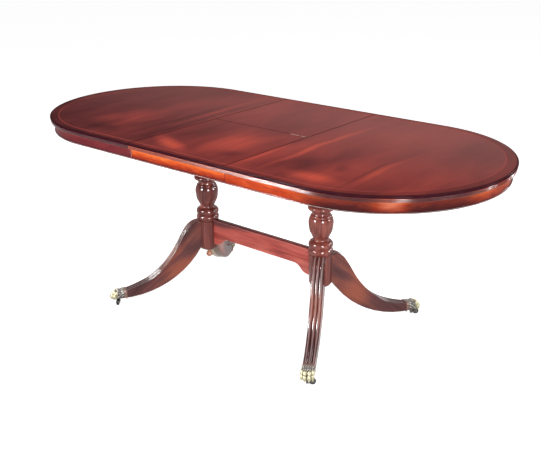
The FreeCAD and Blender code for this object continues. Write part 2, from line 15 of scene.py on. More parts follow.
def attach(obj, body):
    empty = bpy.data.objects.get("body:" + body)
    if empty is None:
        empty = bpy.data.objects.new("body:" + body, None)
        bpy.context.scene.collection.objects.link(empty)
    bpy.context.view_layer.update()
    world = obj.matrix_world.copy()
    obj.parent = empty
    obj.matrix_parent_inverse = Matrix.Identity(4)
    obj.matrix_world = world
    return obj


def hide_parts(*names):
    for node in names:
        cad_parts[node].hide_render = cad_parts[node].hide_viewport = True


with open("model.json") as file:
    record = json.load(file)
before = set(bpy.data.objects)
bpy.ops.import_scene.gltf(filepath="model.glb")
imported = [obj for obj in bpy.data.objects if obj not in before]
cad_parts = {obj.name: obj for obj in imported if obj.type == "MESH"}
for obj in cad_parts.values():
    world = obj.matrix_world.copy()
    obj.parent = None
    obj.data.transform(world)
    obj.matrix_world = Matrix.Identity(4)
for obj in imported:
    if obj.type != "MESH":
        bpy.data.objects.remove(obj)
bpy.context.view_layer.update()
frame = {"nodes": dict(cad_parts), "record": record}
SLOTS = {part["node"]: part["material_slot"] for part in frame["record"]["subparts"]}

# Sizes of the top, as its solids have them
TABLE_HEIGHT = 0.762
UNDERSIDE = 0.740
HALF_WIDTH = 0.456
HALF_LEAF = 0.2285
SEAM_GAP = 0.0006
ARC_X = 0.5365
LIPPING_WIDTH = 0.0158
LIPPING_REACH = 0.440
NOSING_BOTTOM = 0.752
REED_HEIGHT = (NOSING_BOTTOM - UNDERSIDE) / 3
APRON_BOTTOM = 0.700
APRON_THICKNESS = 0.018
APRON_REACH = 0.422
BEAD_HEIGHT = 0.005
BEAD_PROJECTION = 0.0019
END_FACE = HALF_LEAF + SEAM_GAP / 2
LEAF_FACE = HALF_LEAF - SEAM_GAP / 2

# Inlay in the top, measured from its edge, and how much deeper it lies per metre round the bows
LINE_INSET = 0.028
LINE_SPREAD = 0.031
LINE_WIDTH = 0.0034

# Places along the edge, measured to the right from the middle of either long side: where the colour of the
# straights, partly painted sheen, fades, two spots of painted sheen on the right bow, and where its reeds
# grow dull
STRAIGHT_FADE = (0.46, 0.66)
BOW_SHEEN = 0.835
TIP_SHEEN = 1.19
DULL_FADE = (1.12, 1.26)

# Pedestals
PEDESTAL_X = 0.2945
SHAFT_RADIUS = 0.044
SHAFT_BOTTOM = 0.211
SHAFT_TOP = 0.323
RING_RADIUS = 0.0468
WAIST_RADIUS = 0.0306
BULB_RADIUS = 0.0472
COLLAR_RADIUS = 0.050
CAP_RADIUS = 0.048
DOME_BOTTOM = 0.193
DROP_TIP = 0.1555
COLUMN_TOP = 0.650
BEARER_TOP = 0.690
TENON_RADIUS = 0.020
STRETCHER_END = 0.252
STRETCHER_TOP = 0.334
STRETCHER_DEPTH = 0.076
STRETCHER_END_DEPTH = 0.109
STRETCHER_STEP = 0.062
STRETCHER_THICKNESS = 0.023

# Legs, paws and casters. A leg's upper curve and the middle of its hollow are shares of its run and rise
LEG_ANGLE = math.radians(59.1)
LEG_ROOT = 0.0375
LEG_END = 0.386
LEG_ROOT_WIDTH = 0.046
LEG_FOOT_WIDTH = 0.044
LEG_FOOT_DEPTH = 0.026
LEG_SLOPE = math.radians(-40)
LEG_SOFT_EDGE = 0.0035
LEG_CURVE = [(0.07, 0.987), (0.14, 0.929), (0.21, 0.80), (0.322, 0.549), (0.475, 0.313), (0.628, 0.168),
             (0.80, 0.073), (1.0, 0.0)]
LEG_HOLLOW = (0.4286, 0.233)
REED_SPACING = 0.014
REED_GROOVE = 0.0038
SWIVEL_REACH = 0.399
PAW_UNDERSIDE = 0.0265
PAW_HALF_WIDTH = 0.0243
PAW_COLLAR_END = SWIVEL_REACH - 0.0245
PAW_COLLAR_FADE = 0.001
TOE_START = SWIVEL_REACH + 0.0085
TOE_FADE = 0.006
WEAR_DEPTH = 0.00012
WHEEL_TRAIL = 0.017
WHEEL_RADIUS = 0.0125
WHEEL_HALF_WIDTH = 0.005
AXLE_RADIUS = 0.00155
HUB_RADIUS = 0.0062
CORNERS = {"front_left": (-1, -1), "rear_left": (-1, 1), "front_right": (1, -1), "rear_right": (1, 1)}
CASTER_TURNS = {"front_left": -49.6, "rear_left": 205.0, "front_right": 40.4, "rear_right": 40.4}

# How the meshes are made
BEND_STEPS = 96
TURN_STEPS = 96
ARC_STEPS = 10
CURVE_STEPS = 8
REED_STEPS = 12
SPIN_RADIUS = 0.01
WELD = 0.00002
SHARP_ANGLE = math.radians(38)
GROOVE_ANGLE = math.radians(22)
LEG_SHARP_ANGLE = math.radians(50)
SOCKET_STEPS = 32
SHOULDER_POWER = 0.4
PAW_VOXEL = 0.0008

# Middle of a noise's range
TONE_LOW = 0.3
TONE_HIGH = 0.7

# Camera, in a picture of 540 by 465
CAMERA_PLACE = Vector((1.99893, -2.29847, 1.54553))
CAMERA_YAW = 2.27521
CAMERA_PITCH = -0.37833
CAMERA_ROLL = -0.01164
CAMERA_LENS = 55.035
SENSOR_WIDTH = 36.0

# Lamps that face the middle of the table: bearing and elevation in degrees, width and height, and power
LIT_POINT = Vector((0.0, 0.0, 0.55))
LAMP_DISTANCE = 3.2
LAMPS = {
    "front_lamp": (-104.6, 18.5, (0.45, 0.45), 50),
    "right_lamp": (-33.5, 12.5, (0.45, 0.45), 42),
    "rear_lamp": (30, 10.5, (0.45, 0.45), 30),
    "overhead_lamp": (150, 78, (1.8, 1.8), 52),
}

# The same for lamps that only gloss shows
SHEEN_DISTANCE = 3.1
SHEENS = {
    "front_sheen": (-107, 12, (0.5, 0.4), 170),
    "right_sheen": (-33.5, 9, (0.45, 0.4), 110),
    "rear_sheen": (30, 9, (0.45, 0.4), 60),
    "far_sheen": (60, 16, (0.6, 0.45), 55),
    "edge_sheen": (-123.0, 40.7, (0.32, 0.8), 260),
    "edge_left_sheen": (-131.5, 40.7, (0.45, 0.8), 120),
    "front_high_sheen": (-112, 46, (0.9, 0.6), 40),
    "right_high_sheen": (8, 44, (0.9, 0.6), 40),
}

# Light from the surroundings, and the floor
FILL_LIGHT = 0.22
FLOOR_GLOW = 0.80
FLOOR_COLOUR = (0.8, 0.8, 0.8, 1.0)
FLOOR_HALF = 40.0


def srgb(red, green, blue):
    """A screen colour of 0 to 255 as the linear colour that a shader takes."""
    def linear(value):
        share = value / 255
        return share / 12.92 if share <= 0.04045 else ((share + 0.055) / 1.055) ** 2.4
    return (linear(red), linear(green), linear(blue), 1.0)


class Shade:
    """One socket of a node tree. Operators on it add Math nodes, and node() adds any other node."""

    def __init__(self, tree, socket=None):
        self.tree = tree
        self.socket = socket

    def node(self, kind, settings, sockets, output=0):
        made = self.tree.nodes.new(kind)
        for name, value in settings.items():
            if name == "stops":
                ramp = made.color_ramp.elements
                while len(ramp) < len(value):
                    ramp.new(1.0)
                for element, (place, colour) in zip(ramp, value):
                    element.position = place
                    element.color = colour
            else:
                setattr(made, name, value)
        for name, value in sockets.items():
            socket = find_socket(made.inputs, name)
            if isinstance(value, Shade):
                self.tree.links.new(value.socket, socket)
            else:
                socket.default_value = value
        return Shade(self.tree, find_socket(made.outputs, output) if made.outputs else None)

    def maths(self, operation, *values):
        return self.node("ShaderNodeMath", {"operation": operation}, dict(enumerate((self, *values))))

    def __add__(self, other):
        return self.maths("ADD", other)

    __radd__ = __add__

    def __sub__(self, other):
        return self.maths("SUBTRACT", other)

    def __rsub__(self, other):
        return self.node("ShaderNodeMath", {"operation": "SUBTRACT"}, {0: other, 1: self})

    def __mul__(self, other):
        return self.maths("MULTIPLY", other)

    __rmul__ = __mul__

    def __abs__(self):
        return self.maths("ABSOLUTE")

    def rise(self, low, high):
        """0 below low, 1 above high and smooth in between."""
        sockets = {"Value": self, "From Min": low, "From Max": high}
        return self.node("ShaderNodeMapRange", {"interpolation_type": "SMOOTHSTEP"}, sockets)

    def stripe(self, middle, half_width, softness):
        """1 within half_width of the middle, fading to 0 over the softness."""
        return 1 - abs(self - middle).rise(half_width, half_width + softness)

    def blend(self, first, second):
        """The first colour where this is 0 and the second where it is 1."""
        sockets = {"Factor_Float": self, "A_Color": first, "B_Color": second}
        return self.node("ShaderNodeMix", {"data_type": "RGBA"}, sockets, "Result_Color")

    def noise(self, factors, **sockets):
        """Noise on this place, finer along an axis the larger that axis's factor is."""
        stretched = self.node("ShaderNodeVectorMath", {"operation": "MULTIPLY"}, {0: self, 1: factors})
        named = {name.replace("_", " ").title(): value for name, value in sockets.items()}
        return self.node("ShaderNodeTexNoise", {}, {"Vector": stretched, "Scale": 1.0, **named})

    def reach(self, middle, half_width, half_length, lean=0.0):
        """How far this place is from a middle, where the rim of a leaning oval is at 1."""
        sockets = {
            "Vector": self,
            "Location": (*middle, 0.0),
            "Rotation": (0.0, 0.0, math.radians(lean)),
            "Scale": (half_width, half_length, 1.0),
        }
        local = self.node("ShaderNodeMapping", {"vector_type": "TEXTURE"}, sockets)
        return self.node("ShaderNodeVectorMath", {"operation": "LENGTH"}, {0: local}, "Value")

    def place(self):
        """Place on the piece, in the table's own frame."""
        return self.node("ShaderNodeTexCoord", {}, {}, "Object")

    def own(self, name, output="Fac"):
        """A value that the mesh itself carries."""
        return self.node("ShaderNodeAttribute", {"attribute_name": name}, {}, output)

    def axis(self, index):
        return self.node("ShaderNodeSeparateXYZ", {}, {0: self}, index)

    def ramp(self, *stops):
        return self.node("ShaderNodeValToRGB", {"stops": stops}, {0: self})

    def tones(self, *colours):
        """Colours spread evenly over the middle of a noise's range."""
        step = (TONE_HIGH - TONE_LOW) / (len(colours) - 1)
        return self.ramp(*((TONE_LOW + step * index, colour) for index, colour in enumerate(colours)))

    def bump(self, strength, distance):
        return self.node("ShaderNodeBump", {}, {"Height": self, "Strength": strength, "Distance": distance})


def find_socket(sockets, name):
    if isinstance(name, int):
        return sockets[name]
    return next(socket for socket in sockets if name in (socket.identifier, socket.name))


def new_material(name):
    material = bpy.data.materials.new(name)
    material.use_nodes = True
    material.node_tree.nodes.clear()
    return material, Shade(material.node_tree)


def surface(shade, **sockets):
    """Close a material with a principled surface."""
    named = {name.replace("_", " "): value for name, value in sockets.items()}
    shader = shade.node("ShaderNodeBsdfPrincipled", {}, named)
    shade.node("ShaderNodeOutputMaterial", {}, {"Surface": shader})


def lacquer(shade, colour, coat, relief, gloss, roughness=0.4):
    """Close a material with clear lacquer over wood of a colour."""
    surface(
        shade, Base_Color=colour, Roughness=roughness, Specular_IOR_Level=0.0, Coat_Weight=coat,
        Coat_Roughness=gloss, Normal=relief)


# Roughness and weight of the lacquer
GLOSS = 0.14
HAZE = 0.35
TOP_COAT = 0.02
REED_COAT = 0.65
APRON_COAT = 0.20
WOOD_COAT = 0.52

# Colours that several finishes share: white, a painted highlight for crests and a painted shade for grooves
WHITE = (1.0, 1.0, 1.0, 1.0)
PAINTED_CREST_HIGHLIGHT = srgb(212, 190, 186)
PAINTED_GROOVE_SHADE = srgb(58, 18, 20)

# Fan of fine arcs in the front half leaf, the painted glint by the centre seam, the patch along the grain
# of solid wood and how far below an arris its tone is left as it is
FAN_FOOT = (0.02, -0.30)
FAN_REACH = 0.19
FAN_X = 0.17
SEAM_GLINT_X = 0.185
PATCH_MIDDLE = 0.015
PATCH_HALF = 0.015
PLAIN_DEPTH = 0.045

# Figure of the top's veneers: x, y, half width, half length, lean in degrees and strength
FLAMES = [
    (-0.530, -0.160, 0.14, 0.15, 0, 0.20),
    (-0.610, -0.240, 0.05, 0.08, 0, 0.14),
    (-0.490, -0.355, 0.12, 0.05, 0, -0.12),
    (-0.302, 0.060, 0.014, 0.30, 0, 0.22),
    (-0.340, 0.000, 0.016, 0.42, 0, -0.14),
    (-0.262, 0.000, 0.016, 0.45, 0, -0.16),
    (-0.110, -0.360, 0.042, 0.13, 64, 0.44),
    (-0.090, -0.190, 0.10, 0.14, 0, -0.07),
    (0.085, -0.210, 0.10, 0.16, -8, 0.30),
    (0.140, -0.330, 0.07, 0.04, 20, -0.12),
    (0.250, -0.260, 0.020, 0.16, 0, 0.24),
    (0.334, -0.040, 0.015, 0.40, 0, 0.30),
    (0.420, -0.250, 0.055, 0.10, 0, -0.13),
    (0.560, -0.235, 0.035, 0.05, 30, -0.13),
    (0.520, -0.360, 0.11, 0.045, 0, 0.34),
    (0.640, -0.200, 0.010, 0.22, 0, -0.16),
    (0.664, -0.170, 0.016, 0.22, 0, 0.22),
    (0.500, 0.220, 0.14, 0.22, 0, 0.14),
    (0.870, -0.130, 0.07, 0.12, 0, 0.12),
    (0.800, 0.240, 0.14, 0.24, 0, -0.20),
]


def flame_tone(place, x):
    """Tone of flame mahogany with its grain across the table, and the streaks and fibres in it."""
    y = place.axis(1)
    sway = place.noise((5.0, 3.0, 0.0), detail=3.0)
    swayed = place.node("ShaderNodeCombineXYZ", {}, {"X": x + (sway - 0.5) * 0.06, "Y": y, "Z": 0.0})
    broad = swayed.noise((5.0, 1.8, 0.0), detail=3.0, roughness=0.55)
    streaks = swayed.noise((54.0, 2.8, 0.0), detail=5.0, roughness=0.62)
    fibres = place.noise((460.0, 12.0, 0.0), detail=3.0)
    tone = broad * 0.62 + streaks * 0.14 + fibres * 0.09 - 0.04
    tone = tone - 0.16 * (1 - x.rise(-0.80, -0.10)) + 0.05 * x.rise(0.05, 0.45)
    for flame_x, flame_y, half_width, half_length, lean, strength in FLAMES:
        away = swayed.reach((flame_x, flame_y), half_width, half_length, lean)
        tone = tone + (1 - away.rise(0.0, 1.3)) * (streaks * 0.6 + 0.55) * strength
    fan = place.reach(FAN_FOOT, 1.0, 1.3) + streaks * 0.02
    arcs = (fan * 420.0).maths("SINE") * fan.stripe(FAN_REACH, 0.03, 0.05) * x.stripe(FAN_X, 0.03, 0.05)
    return tone + arcs * 0.05, streaks, fibres


def veneer_figure(start):
    """Colour and relief of the top: veneers, an inlaid line, a darker border and rim, dark seams, a painted
    reflection that pales the rear and right, and a painted glint on the centre seam.
    """
    place = start.place()
    x = place.axis(0)
    y = place.axis(1)
    past = (abs(x) - ARC_X).maths("MAXIMUM", 0.0)
    edge = HALF_WIDTH - (past * past + y * y).maths("SQRT")
    tone, streaks, fibres = flame_tone(place, x)
    field = tone.ramp((0.06, srgb(54, 26, 29)), (0.30, srgb(100, 46, 46)), (0.54, srgb(150, 64, 58)),
                      (0.84, srgb(200, 84, 66)))
    # Painted reflection: the field grows paler and greyer towards the rear and the right, a veil of
    # reflected light
    painted_veil = y.rise(-0.40, 0.40) * (x.rise(-0.60, 0.40) * 0.15 + 0.38)
    field = painted_veil.blend(field, srgb(160, 106, 102))

    rim = (1 - edge.rise(0.003, 0.012)) * 0.88
    inside = edge - past * LINE_SPREAD - LINE_INSET
    border = (1 - inside.rise(-0.0008, 0.0008)) * 0.22
    line = inside.stripe(0.0, LINE_WIDTH / 2, 0.0012)
    colour = rim.maths("MAXIMUM", border).blend(field, srgb(46, 16, 24))
    faint = 0.70 - 0.30 * abs(x).rise(0.40, 0.80)
    colour = (line * faint).blend(colour, srgb(184, 80, 70))
    cross_seam = abs(x).stripe(HALF_LEAF, 0.0016, 0.0018)
    long_seam = abs(y).stripe(0.0, 0.0013, 0.0016) * (1 - abs(x).rise(HALF_LEAF, HALF_LEAF + 0.001))
    seam = cross_seam.maths("MAXIMUM", long_seam)
    colour = (seam * 0.8).blend(colour, srgb(26, 14, 16))
    # Painted glint: a pale streak on the centre seam near its right end, where the leaf's edge catches
    # light
    painted_seam_glint = x.stripe(SEAM_GLINT_X, 0.030, 0.010) * y.stripe(0.0, 0.0016, 0.0010) * streaks.rise(0.35, 0.50)
    colour = (painted_seam_glint * 0.8).blend(colour, srgb(206, 178, 168))
    return colour, fibres * 0.6 + streaks * 0.4 - seam


def top_veneer():
    material, start = new_material("top_veneer")
    colour, relief = veneer_figure(start)
    lacquer(start, colour, TOP_COAT, relief.bump(0.05, 0.0004), HAZE)
    return material


def mahogany(name, deep, middle, bright, figure=(3.0, 26.0, 26.0), lean=0.0, patch=0.0, arris=None):
    """Polished mahogany along the mesh's own grain, with painted shade in the grooves, painted highlights
    on the crests and an unpolished underside, darker on one side by a painted shadow.

    The tone leans along the grain and has a patch near its middle. An arris is the height of a board's dark
    upper edge, below which the tone grows brighter; a painted highlight runs in a thin line just under it.
    """
    material, start = new_material(name)
    grain = start.own("grain", "Vector")
    along = grain.axis(0)
    height = grain.axis(2)
    cloud = grain.noise(figure, detail=3.0, distortion=0.7)
    streaks = grain.noise((7.0, 170.0, 170.0), detail=4.0)
    fibres = grain.noise((30.0, 900.0, 900.0), detail=2.0)
    tone = cloud * 0.70 + streaks * 0.22 + fibres * 0.08
    tone = tone + along * lean + along.stripe(PATCH_MIDDLE, PATCH_HALF, 0.08) * patch
    if arris is not None:
        tone = tone + (arris - PLAIN_DEPTH - height) * 2.4
    colour = tone.tones(deep, middle, bright)
    pores = fibres.rise(0.60, 0.72) * 0.35
    # Painted shade darkens the grooves between the reeds; the pores are the grain's own
    colour = pores.maths("MAXIMUM", start.own("groove") * 0.8).blend(colour, deep)
    # Painted highlight along the crests of the reeds
    colour = (start.own("crest").rise(0.88, 1.0) * 0.42).blend(colour, PAINTED_CREST_HIGHLIGHT)
    # Unpolished wood on the underside, darker on one side by a painted shadow
    raw_wood_and_painted_shadow = grain.axis(1).rise(-0.004, 0.010).blend(srgb(140, 116, 98), srgb(204, 174, 142))
    colour = start.own("under").blend(colour, raw_wood_and_painted_shadow)
    if arris is not None:
        # Painted highlight in a thin line under the arris
        colour = (height.stripe(arris - 0.0048, 0.0008, 0.0016) * 0.15).blend(colour, PAINTED_CREST_HIGHLIGHT)
        colour = (height.rise(arris - 0.0034, arris - 0.0018) * 0.75).blend(colour, deep)
    relief = (streaks + fibres).bump(0.03, 0.0003)
    lacquer(start, colour, WOOD_COAT, relief, GLOSS, 0.30 + streaks * 0.15)
    return material


def turned_mahogany():
    return mahogany("turned_mahogany", srgb(60, 26, 26), srgb(120, 60, 54), srgb(174, 98, 82))


# Painted light: a paler copy of the turned mahogany for the drop, as if the lamps lit it more
def painted_lit_drop_mahogany():
    return mahogany("painted_lit_drop_mahogany", srgb(120, 70, 52), srgb(180, 120, 90), srgb(220, 168, 134))


def leg_mahogany():
    colours = (srgb(60, 31, 33), srgb(102, 56, 55), srgb(162, 86, 65))
    return mahogany("leg_mahogany", *colours, figure=(2.5, 18.0, 18.0), lean=-0.10, patch=0.14)


def stretcher_mahogany():
    colours = (srgb(92, 30, 32), srgb(176, 72, 62), srgb(214, 112, 98))
    return mahogany("stretcher_mahogany", *colours, lean=0.36, patch=0.08, arris=STRETCHER_TOP)


def along_the_edge(start):
    """Place on an edge piece, and from it the way along the edge and the height."""
    grain = start.own("grain", "Vector")
    return grain, grain.axis(0), grain.axis(2)


def edge_blend(along, maroon, bright, bow):
    """Colour round the edge: maroon veneer on the left end, bright on the straights, partly by lighter
    veneer and partly by painted sheen, and dark on the right bow but for two bright spots of painted sheen.
    """
    side = along.rise(-HALF_LEAF - 0.0002, -HALF_LEAF + 0.0002)
    # The straights' brightness is partly lighter veneer and partly painted sheen
    straight = 1 - along.rise(*STRAIGHT_FADE)
    # Painted sheen: two bright spots where the right bow catches the lamps
    painted_sheen_patches = along.stripe(BOW_SHEEN, 0.010, 0.075) * 0.65 + along.stripe(TIP_SHEEN, 0.03, 0.10) * 0.50
    return side.blend(maroon, (straight + painted_sheen_patches).blend(bow, bright))


def lipping_mahogany():
    """Moulded edge: the veneer's colour on top, a dark nosing and reeds that follow the apron's colours and
    painted sheen, with painted shade in the grooves between them.
    """
    material, start = new_material("lipping_mahogany")
    colour, relief = veneer_figure(start)
    grain, along, height = along_the_edge(start)
    fibres = grain.noise((34.0, 700.0, 700.0), detail=3.0)
    maroon = fibres.tones(srgb(72, 26, 34), srgb(104, 42, 48))
    bright = fibres.tones(srgb(150, 62, 46), srgb(200, 104, 80))
    bow = fibres.tones(srgb(66, 24, 28), srgb(104, 44, 42))
    nosing = fibres.tones(srgb(40, 16, 26), srgb(72, 28, 36))
    below = 1 - height.rise(NOSING_BOTTOM, NOSING_BOTTOM + 0.002)
    face = below.blend(nosing, edge_blend(along, maroon, bright, bow))
    gloss = REED_COAT - along.rise(*DULL_FADE) * (REED_COAT - TOP_COAT)
    # Painted shade in the grooves between the reeds
    for groove in (1, 2):
        low = height.stripe(UNDERSIDE + groove * REED_HEIGHT, 0.0006, 0.0008)
        face = (low * 0.85).blend(face, PAINTED_GROOVE_SHADE)
    colour = (1 - height.rise(TABLE_HEIGHT - 0.003, TABLE_HEIGHT - 0.0005)).blend(colour, face)
    lacquer(start, colour, TOP_COAT + below * gloss, relief.bump(0.05, 0.0004), GLOSS)
    return material


def apron_mahogany():
    """Apron veneers, darker towards the bottom, most on the leaf, with painted sheen round the edge, a
    painted glint on the arris by the left joint, and painted shade over the bead with a painted highlight
    on it.
    """
    material, start = new_material("apron_mahogany")
    grain, along, height = along_the_edge(start)
    mottle = grain.noise((16.0, 60.0, 60.0), detail=4.0, distortion=0.5)
    fibres = grain.noise((34.0, 700.0, 700.0), detail=3.0)
    on_leaf = 1 - abs(along).rise(HALF_LEAF - 0.001, HALF_LEAF)
    on_bow = abs(along).rise(*STRAIGHT_FADE)
    fall = (height - (APRON_BOTTOM + UNDERSIDE) / 2) * (on_leaf * 15.0 + on_bow * 8.0 + 6.0)
    tone = mottle * 0.45 + fibres * 0.55 + fall
    bright = tone.ramp((0.24, srgb(124, 35, 20)), (0.50, srgb(190, 63, 23)), (0.78, srgb(228, 110, 48)))
    maroon = tone.tones(srgb(92, 28, 36), srgb(112, 36, 42), srgb(134, 48, 50))
    bow = tone.tones(srgb(60, 17, 18), srgb(84, 26, 22), srgb(120, 44, 30))
    colour = edge_blend(along, maroon, bright, bow)
    # Painted sheen: a pale glow on the apron where the right bow catches a lamp
    glow = along.stripe(BOW_SHEEN, 0.004, 0.045) * height.rise(APRON_BOTTOM, UNDERSIDE) * (mottle + 0.4)
    colour = (glow * 0.5).blend(colour, srgb(226, 150, 120))
    joint = abs(along).stripe(HALF_LEAF, 0.0008, 0.0016)
    colour = (joint * 0.8).blend(colour, srgb(60, 18, 20))
    # Painted glint: a pale line on the arris beside the left joint
    arris = along.stripe(-HALF_LEAF - 0.0022, 0.0012, 0.0010)
    colour = (arris * 0.6).blend(colour, srgb(204, 140, 134))
    bead_top = APRON_BOTTOM + BEAD_HEIGHT
    # Painted shade in the groove over the bead, then a painted highlight along the bead
    colour = (height.stripe(bead_top, 0.0005, 0.0008) * 0.7).blend(colour, PAINTED_GROOVE_SHADE)
    colour = (height.stripe(bead_top - 0.0022, 0.0006, 0.0010) * 0.45).blend(colour, PAINTED_CREST_HIGHLIGHT)
    lacquer(start, colour, APRON_COAT, fibres.bump(0.04, 0.0003), GLOSS)
    return material


def frame_beech():
    """Stained beech of the frame that the top hides."""
    material, start = new_material("frame_beech")
    place = start.place()
    cloud = place.noise((4.0, 40.0, 40.0), detail=3.0)
    flecks = place.noise((70.0, 420.0, 420.0), detail=2.0)
    tone = cloud * 0.7 + flecks * 0.3
    colour = tone.tones(srgb(104, 62, 42), srgb(136, 88, 60), srgb(164, 112, 78))
    surface(start, Base_Color=colour, Roughness=0.5 + flecks * 0.2, Normal=flecks.bump(0.15, 0.0004))
    return material


def antique_brass():
    """Cast brass, dark in its hollows and rubbed on its crests, with bright toes and a browner collar."""
    material, start = new_material("antique_brass")
    wear = start.own("wear")
    toe = start.own("toe")
    collar = start.own("collar")
    stain = start.place().noise((170.0, 170.0, 170.0), detail=4.0)
    rubbed = wear * 0.5 + (stain - 0.5) * 0.5 + 0.35
    bronze = rubbed.ramp((0.10, srgb(32, 30, 29)), (0.40, srgb(84, 78, 73)), (0.74, srgb(200, 195, 184)))
    bright = rubbed.ramp((0.00, srgb(66, 63, 44)), (0.34, srgb(150, 143, 106)), (0.74, srgb(216, 209, 182)))
    band = rubbed.ramp((0.10, srgb(84, 58, 50)), (0.60, srgb(142, 106, 92)))
    colour = collar.blend(toe.blend(bronze, bright), band)
    surface(start, Base_Color=colour, Metallic=0.25, Roughness=0.5, Normal=stain.bump(0.10, 0.0004))
    return material


def dull_bronze():
    material, start = new_material("dull_bronze")
    stain = start.place().noise((170.0, 170.0, 170.0), detail=4.0)
    colour = stain.tones(srgb(40, 28, 25), srgb(66, 48, 41))
    surface(start, Base_Color=colour, Roughness=0.6, Specular_IOR_Level=0.15)
    return material


def steel_screws():
    material, start = new_material("steel_screws")
    grey = start.place().noise((900.0, 900.0, 900.0), detail=2.0)
    colour = grey.tones(srgb(132, 132, 134), srgb(184, 184, 182))
    surface(start, Base_Color=colour, Metallic=1.0, Roughness=0.28 + grey * 0.2)
    return material


def black_wheel():
    """Black wheel with a paler hub, by the mesh's hub value."""
    material, start = new_material("black_wheel")
    hub = start.own("hub")
    dust = start.place().noise((500.0, 500.0, 500.0), detail=3.0)
    tyre = dust.tones(srgb(16, 16, 17), srgb(36, 36, 37))
    colour = hub.blend(tyre, srgb(132, 130, 126))
    surface(
        start, Base_Color=colour, Metallic=hub * 0.8, Roughness=0.42 - hub * 0.12, Specular_IOR_Level=0.2)
    return material


def placed(name, data):
    """A new object in the scene."""
    made = bpy.data.objects.new(name, data)
    bpy.context.scene.collection.objects.link(made)
    return made


def plain_mesh(thing):
    """Mesh of an object as its modifiers leave it."""
    depsgraph = bpy.context.evaluated_depsgraph_get()
    return bpy.data.meshes.new_from_object(thing.evaluated_get(depsgraph))


def trace(start, moves):
    """Points along lines, three-point arcs and smooth curves, as the solids' outlines are drawn."""
    points = [Vector(start)]
    for kind, *targets in moves:
        targets = [Vector(target) for target in targets]
        if kind == "line":
            points.extend(targets)
        elif kind == "arc":
            points.extend(arc_points(points[-1], *targets))
        else:
            points.extend(curve_points([points[-1]] + targets))
    return points


def arc_points(first, via, last):
    """Points after the first on the arc through three points."""
    near = via - first
    far = last - first
    cross = 2 * (near.x * far.y - near.y * far.x)
    middle = first + Vector((far.y * near.length_squared - near.y * far.length_squared,
                             near.x * far.length_squared - far.x * near.length_squared)) / cross
    radius = (first - middle).length
    begin = math.atan2(first.y - middle.y, first.x - middle.x)
    sweep = math.atan2(last.y - middle.y, last.x - middle.x) - begin
    if cross > 0:
        sweep = sweep % math.tau
    else:
        sweep = -(-sweep % math.tau)
    angles = [begin + sweep * step / ARC_STEPS for step in range(1, ARC_STEPS + 1)]
    return [middle + radius * Vector((math.cos(angle), math.sin(angle))) for angle in angles]


def curve_points(knots):
    """Points after the first on a smooth curve through the knots."""
    ends = [2 * knots[0] - knots[1]] + knots + [2 * knots[-1] - knots[-2]]
    points = []
    for before, here, there, after in zip(ends, ends[1:], ends[2:], ends[3:]):
        for step in range(1, CURVE_STEPS + 1):
            share = step / CURVE_STEPS
            pull = there - here
            lead = (there - before) / 2
            tail = (after - here) / 2
            bend = 3 * pull - 2 * lead - tail
            turn = lead + tail - 2 * pull
            points.append(here + lead * share + bend * share ** 2 + turn * share ** 3)
    return points


def sweep_tree():
    """Geometry nodes that run a section along a path and weld what meets."""
    tree = bpy.data.node_groups.new("sweep", "GeometryNodeTree")
    kinds = {"Path": "Geometry", "Section": "Object", "Weld": "Float", "Finish": "Material"}
    sockets = {}
    for name, kind in kinds.items():
        made = tree.interface.new_socket(name, in_out="INPUT", socket_type="NodeSocket" + kind)
        sockets[name] = made.identifier
    tree.interface.new_socket("Piece", in_out="OUTPUT", socket_type="NodeSocketGeometry")
    start = Shade(tree)
    path, section, weld, finish = (start.node("NodeGroupInput", {}, {}, name) for name in kinds)
    profile = start.node("GeometryNodeObjectInfo", {}, {"Object": section}, "Geometry")
    swept_sockets = {"Curve": path, "Profile Curve": profile, "Fill Caps": True}
    sweep = start.node("GeometryNodeCurveToMesh", {}, swept_sockets, "Mesh")
    welded = start.node("GeometryNodeMergeByDistance", {}, {"Geometry": sweep, "Distance": weld})
    real = start.node("GeometryNodeRealizeInstances", {}, {"Geometry": welded})
    dressed = start.node("GeometryNodeSetMaterial", {}, {"Geometry": real, "Material": finish})
    start.node("NodeGroupOutput", {}, {"Piece": dressed})
    return tree, sockets


def poly_curve(name, points, closed):
    data = bpy.data.curves.new(name, "CURVE")
    data.dimensions = "3D"
    data.twist_mode = "Z_UP"
    spline = data.splines.new("POLY")
    spline.points.add(len(points) - 1)
    for point, place in zip(spline.points, points):
        point.co = (*place, 1.0)
    spline.use_cyclic_u = closed
    return placed(name, data)


SWEEP, SWEEP_SOCKETS = sweep_tree()


def swept(name, path, closed, outline, material):
    """Mesh of an outline of (outward, up) points, run along a path that turns left round the object."""
    section = poly_curve(name + "_section", [(outward, -up, 0.0) for outward, up in outline], True)
    curve = poly_curve(name + "_path", path, closed)
    modifier = curve.modifiers.new("sweep", "NODES")
    modifier.node_group = SWEEP
    modifier[SWEEP_SOCKETS["Section"]] = section
    modifier[SWEEP_SOCKETS["Weld"]] = WELD
    modifier[SWEEP_SOCKETS["Finish"]] = material
    mesh = plain_mesh(curve)
    curve.modifiers.remove(modifier)
    for used in (curve, section):
        data = used.data
        bpy.data.objects.remove(used)
        bpy.data.curves.remove(data)
    mesh.name = name
    return mesh


def turned(name, outline, material):
    """Mesh of an outline of (radius, height) points, turned about the upright axis."""
    steps = [math.tau * step / TURN_STEPS for step in range(TURN_STEPS)]
    ring = [(SPIN_RADIUS * math.cos(angle), SPIN_RADIUS * math.sin(angle), 0.0) for angle in steps]
    return swept(name, ring, True, [(radius - SPIN_RADIUS, height) for radius, height in outline], material)


